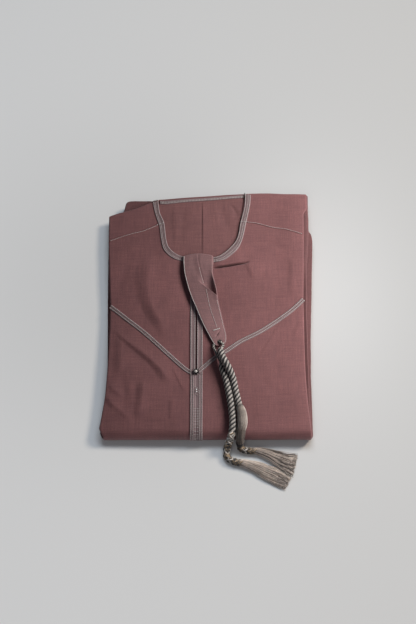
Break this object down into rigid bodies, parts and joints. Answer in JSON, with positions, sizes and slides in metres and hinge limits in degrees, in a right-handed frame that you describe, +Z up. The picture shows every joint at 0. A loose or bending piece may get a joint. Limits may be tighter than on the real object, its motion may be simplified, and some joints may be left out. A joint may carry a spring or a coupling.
{
  "type": "folded jalabiya",
  "caption": "Jalabiya folded flat into a rectangular bundle, with a round stitched neck, a buttoned placket, and a neck tab that carries a rope tassel.",
  "frame": {"origin": "middle of the folded bundle's footprint without its cord and tassels, on the surface it rests on", "axes": "+Z up, out of the garment's front; +Y towards the shoulder fold and the neck; +X towards the side where the tab and the tassel lie"},
  "size_m": [0.3872, 0.5668, 0.0563],
  "materials": {
    "mauve_twill": "matt twill weave",
    "mauve_twill_inside": "matt twill weave, the inside and the folded layers",
    "stitched_trim": "close-stitched band with a soft sheen",
    "tab_cloth": "pressed double cloth",
    "silver_cord": "twisted cord of bright and dark strands",
    "silk_strands": "silky strands",
    "button_pearl": "pearly, with a dark rim"
  },
  "bodies": {
    "root": {"back_inside": "mauve_twill_inside", "button": "button_pearl", "cord_left": "silver_cord", "cord_right": "silver_cord", "folded_body": "mauve_twill_inside", "front_lower": "mauve_twill", "front_upper_left": "mauve_twill", "front_upper_right": "mauve_twill", "knots_left": "silver_cord", "knots_right": "silver_cord", "neck_tab": "tab_cloth", "neckband_back": "stitched_trim", "neckband_left": "stitched_trim", "neckband_right": "stitched_trim", "placket_left": "stitched_trim", "placket_lower": "stitched_trim", "placket_right": "stitched_trim", "seam_shoulder_left": "stitched_trim", "seam_shoulder_right": "stitched_trim", "shoulder_left": "mauve_twill", "shoulder_right": "mauve_twill", "silk_hank": "silk_strands", "tassel_left": "silk_strands", "tassel_loop": "silver_cord", "tassel_right": "silk_strands", "trim_left": "stitched_trim", "trim_right": "stitched_trim"}
  },
  "joints": []
}
